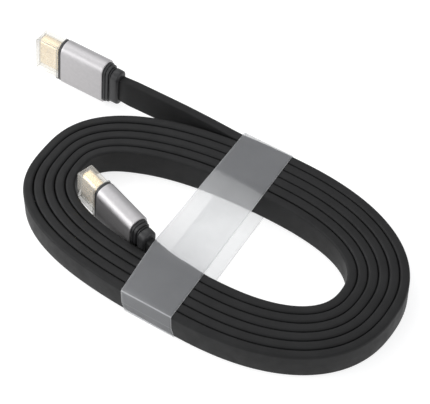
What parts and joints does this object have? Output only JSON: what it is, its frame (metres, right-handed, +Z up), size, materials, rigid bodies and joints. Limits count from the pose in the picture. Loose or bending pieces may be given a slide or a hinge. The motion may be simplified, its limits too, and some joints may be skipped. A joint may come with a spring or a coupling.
{
  "type": "hdmi cable",
  "caption": "Flat display cable wound on edge into an oval coil, held by a frosted wrap band, with a metal-sleeved plug and a clear dust cap on each end.",
  "frame": {"origin": "middle of the footprint, on the surface that the coil lies on", "axes": "+X along the coil's long axis, away from the outer plug; +Y towards the outer plug's side; +Z up"},
  "size_m": [0.1912, 0.0924, 0.0229],
  "materials": {
    "cable_jacket": "matte black extruded jacket",
    "black_moulding": "satin black moulding",
    "aluminium_sleeve": "satin grey anodised",
    "gold_plate": "bright gold plating",
    "insulator": "matte",
    "clear_plastic": "clear, glossy",
    "frosted_film": "frosted translucent film"
  },
  "bodies": {
    "cable": {"cable_coil": "cable_jacket", "cable_lead_outer": "cable_jacket", "cable_lead_inner": "cable_jacket", "wrap_band": "frosted_film", "outer_plug_sleeve": "aluminium_sleeve", "outer_plug_front_collar": "black_moulding", "outer_plug_strain_relief": "black_moulding", "outer_plug_connector_shell": "gold_plate", "outer_plug_insulator": "insulator", "inner_plug_sleeve": "aluminium_sleeve", "inner_plug_front_collar": "black_moulding", "inner_plug_strain_relief": "black_moulding", "inner_plug_connector_shell": "gold_plate", "inner_plug_insulator": "insulator", "inner_plug_dust_cap": "clear_plastic"},
    "outer_dust_cap": {"outer_plug_dust_cap": "clear_plastic"}
  },
  "joints": [
    {"name": "outer_dust_cap_pull", "type": "slide", "parent": "cable", "child": "outer_dust_cap", "axis": [-0.9992, -0.0209, 0.0349], "range_m": [0, 0.014]}
  ]
}
